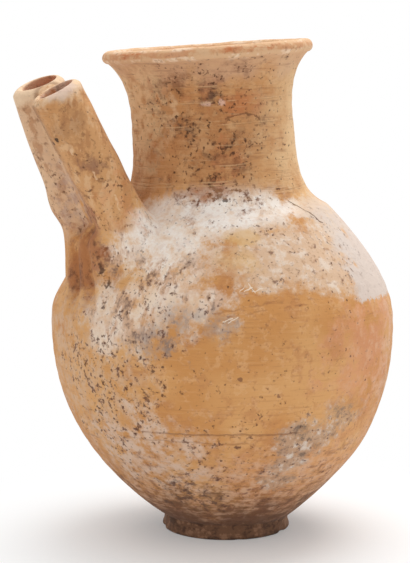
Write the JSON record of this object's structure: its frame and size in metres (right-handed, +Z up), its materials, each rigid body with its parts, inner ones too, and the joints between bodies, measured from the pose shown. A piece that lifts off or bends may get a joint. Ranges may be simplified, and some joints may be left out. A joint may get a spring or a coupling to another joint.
{
  "type": "guttus",
  "caption": "Unglazed earthenware pouring jug with a round belly on a low foot ring, a wide flared neck with a rolled lip, and slanted tube spouts set side by side on the shoulder.",
  "frame": {"origin": "centre of the foot ring's resting plane", "axes": "+Z up; the spouts lean out towards -X, the left one on the -Y side and the right one on the +Y side of the XZ plane"},
  "size_m": [0.1435, 0.1268, 0.1827],
  "materials": {
    "body_clay": "matt, unglazed",
    "neck_clay": "matt, unglazed",
    "lip_clay": "matt, unglazed",
    "spout_clay": "matt, unglazed",
    "luting_clay": "matt, unglazed",
    "foot_clay": "matt, unglazed"
  },
  "bodies": {
    "root": {"foot_ring": "foot_clay", "globe_body": "body_clay", "neck": "neck_clay", "lip_bead": "lip_clay", "left_spout": "spout_clay", "right_spout": "spout_clay", "spout_web": "luting_clay", "spout_rib": "luting_clay"}
  },
  "joints": []
}
